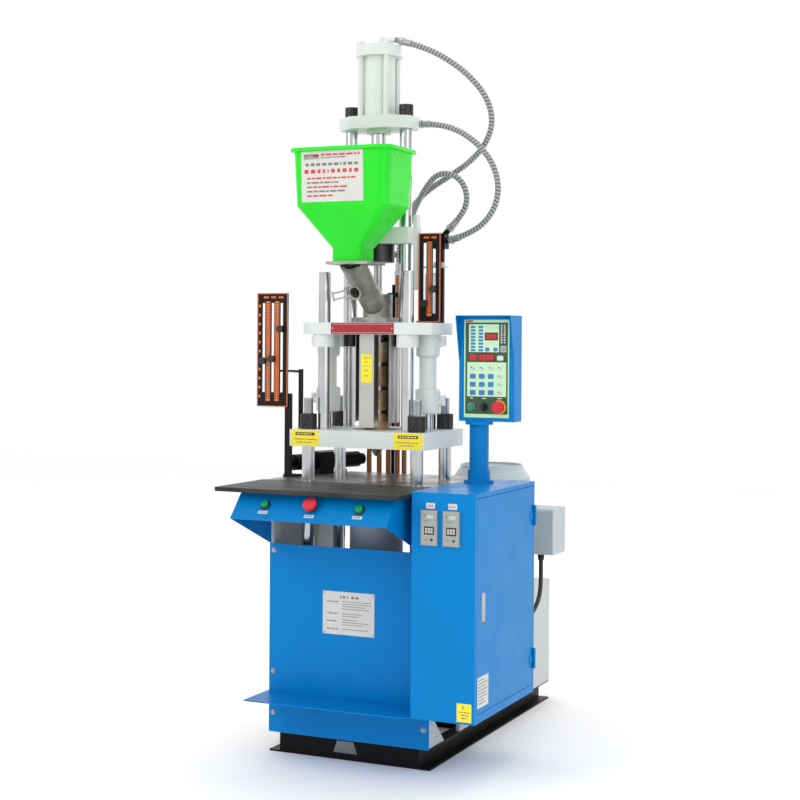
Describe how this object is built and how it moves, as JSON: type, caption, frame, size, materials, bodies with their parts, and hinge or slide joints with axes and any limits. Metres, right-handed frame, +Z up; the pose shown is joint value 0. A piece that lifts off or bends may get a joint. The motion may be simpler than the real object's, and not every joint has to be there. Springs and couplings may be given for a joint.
{
  "type": "vertical injection moulding machine",
  "caption": "Upright plastic injection press: skid, blue cabinet and console, platens on tie bars, heated barrel under a green hopper, hydraulic pump set and a swivelling control box.",
  "frame": {"origin": "middle of the skid's underside, on the floor", "axes": "+Z up along the clamping axis, -Y towards the operator, +X to the operator's right"},
  "size_m": [0.87, 1.262, 2.132],
  "materials": {
    "blue_paint": "gloss powder paint, bright blue",
    "grey_paint": "satin paint, light grey",
    "white_paint": "satin paint, grey white",
    "skid_black": "semi-matt black paint",
    "black_oxide": "blackened steel, oiled",
    "table_grey": "dark scuffed steel",
    "ground_steel": "ground steel with stains",
    "hard_chrome": "polished hard chrome",
    "bright_sheet": "bright stainless sheet",
    "cast_metal": "rough cast aluminium",
    "band_brass": "heat-tinted band",
    "pipe_brown": "copper brown",
    "hopper_green": "translucent green moulding",
    "motor_grey": "blue grey paint",
    "box_grey": "dark blue grey paint",
    "timer_grey": "grey moulding",
    "button_green": "green button",
    "button_red": "red mushroom button",
    "knob_black": "black moulding",
    "ruler_orange": "dark plate with orange scales",
    "hose_grey": "hose in a grey spiral guard",
    "cable_black": "black rubber",
    "screw_steel": "nitrided steel"
  },
  "bodies": {
    "root": {"base_skid": "skid_black", "side_plates": "grey_paint", "fixed_platen": "ground_steel", "work_table": "table_grey", "console": "blue_paint", "front_panel": "blue_paint", "oil_tank": "grey_paint", "gear_pump": "black_oxide", "pump_motor": "motor_grey", "fan_cowl": "motor_grey", "clamp_cylinder": "grey_paint", "cabinet": "blue_paint", "timers": "timer_grey", "directional_valve": "skid_black", "left_ruler": "ruler_orange", "hose_sleeve": "hose_grey", "motor_cable": "cable_black"},
    "rotor": {"motor_rotor": "screw_steel"},
    "clamp": {"clamp_platen": "white_paint", "tie_bars": "hard_chrome", "tie_bar_nuts": "black_oxide", "pull_plate": "grey_paint", "ram_rods": "hard_chrome", "guide_columns": "hard_chrome", "hydraulic_pipes": "pipe_brown", "pipe_mast": "skid_black"},
    "carriage": {"injection_platen": "white_paint", "carriage_cylinders": "white_paint", "barrel": "screw_steel", "heater_bands": "band_brass", "heater_guards": "bright_sheet", "feed_throat": "cast_metal", "hopper": "hopper_green", "injection_columns": "hard_chrome", "column_nuts": "black_oxide", "top_plate": "white_paint", "injection_cylinder": "white_paint", "right_ruler": "ruler_orange", "hose_bulkhead": "skid_black", "top_hose": "hose_grey", "plate_hose": "hose_grey", "loop_hose": "hose_grey"},
    "crosshead": {"crosshead": "white_paint", "piston_rod": "hard_chrome", "drive_motor": "black_oxide"},
    "screw": {"screw": "screw_steel"},
    "bail": {"drain_bail": "bright_sheet"},
    "right_stops": {"right_stops": "knob_black"},
    "left_stops": {"left_stops": "knob_black"},
    "door": {"cabinet_door": "blue_paint"},
    "latch": {"door_latch": "bright_sheet"},
    "control_box": {"control_post": "blue_paint", "control_box": "blue_paint"},
    "box_button": {"box_button": "button_green"},
    "box_selector": {"box_selector": "knob_black"},
    "box_estop": {"box_estop": "button_red"},
    "left_button": {"left_button": "button_green"},
    "right_button": {"right_button": "button_green"},
    "console_estop": {"console_estop": "button_red"}
  },
  "joints": [
    {"name": "pump_shaft", "type": "hinge", "parent": "root", "child": "rotor", "pos_m": [0.152, 0.24, 0.6], "axis": [0, 0, 1], "continuous": true},
    {"name": "clamp_slide", "type": "slide", "parent": "root", "child": "clamp", "axis": [0, 0, 1], "range_m": [0, 0.15]},
    {"name": "carriage_slide", "type": "slide", "parent": "clamp", "child": "carriage", "axis": [0, 0, 1], "range_m": [0, 0.1]},
    {"name": "injection_slide", "type": "slide", "parent": "carriage", "child": "crosshead", "axis": [0, 0, 1], "range_m": [-0.05, 0.08]},
    {"name": "screw_turn", "type": "hinge", "parent": "crosshead", "child": "screw", "pos_m": [0, -0.324, 1.4], "axis": [0, 0, 1], "continuous": true},
    {"name": "drain_bail_hinge", "type": "hinge", "parent": "carriage", "child": "bail", "pos_m": [-0.03704, -0.4626, 1.35901], "axis": [-0.0526, -0.3264, 0.9438], "range_deg": [-50, 128]},
    {"name": "right_stop_slide", "type": "slide", "parent": "carriage", "child": "right_stops", "axis": [0, 0, 1], "range_m": [0, 0.13]},
    {"name": "left_stop_slide", "type": "slide", "parent": "root", "child": "left_stops", "axis": [0, 0, 1], "range_m": [-0.085, 0.07]},
    {"name": "door_hinge", "type": "hinge", "parent": "root", "child": "door", "pos_m": [0.4585, -0.194, 0.5], "axis": [0, 0, 1], "range_deg": [0, 110]},
    {"name": "latch_hinge", "type": "hinge", "parent": "door", "child": "latch", "pos_m": [0.449, -0.592, 0.46], "axis": [0, 1, 0], "range_deg": [0, 35], "stiffness_Nm_per_rad": 0.2, "springref_deg": -5.73},
    {"name": "post_swivel", "type": "hinge", "parent": "root", "child": "control_box", "pos_m": [0.325, -0.309, 0.9], "axis": [0, 0, 1], "range_deg": [-90, 60]},
    {"name": "box_button_press", "type": "slide", "parent": "control_box", "child": "box_button", "axis": [0, 1, 0], "range_m": [0, 0.005], "stiffness_N_per_m": 300, "springref_m": -0.002},
    {"name": "selector_turn", "type": "hinge", "parent": "control_box", "child": "box_selector", "pos_m": [0.348, -0.33, 1.029], "axis": [0, 1, 0], "range_deg": [-45, 45]},
    {"name": "box_estop_press", "type": "slide", "parent": "control_box", "child": "box_estop", "axis": [0, 1, 0], "range_m": [0, 0.006]},
    {"name": "left_button_press", "type": "slide", "parent": "root", "child": "left_button", "axis": [0, 0.7418, -0.6706], "range_m": [0, 0.005], "stiffness_N_per_m": 300, "springref_m": -0.004},
    {"name": "right_button_press", "type": "slide", "parent": "root", "child": "right_button", "axis": [0, 0.7418, -0.6706], "range_m": [0, 0.005], "stiffness_N_per_m": 300, "springref_m": -0.004},
    {"name": "console_estop_press", "type": "slide", "parent": "root", "child": "console_estop", "axis": [0, 0.7418, -0.6706], "range_m": [0, 0.006]}
  ]
}
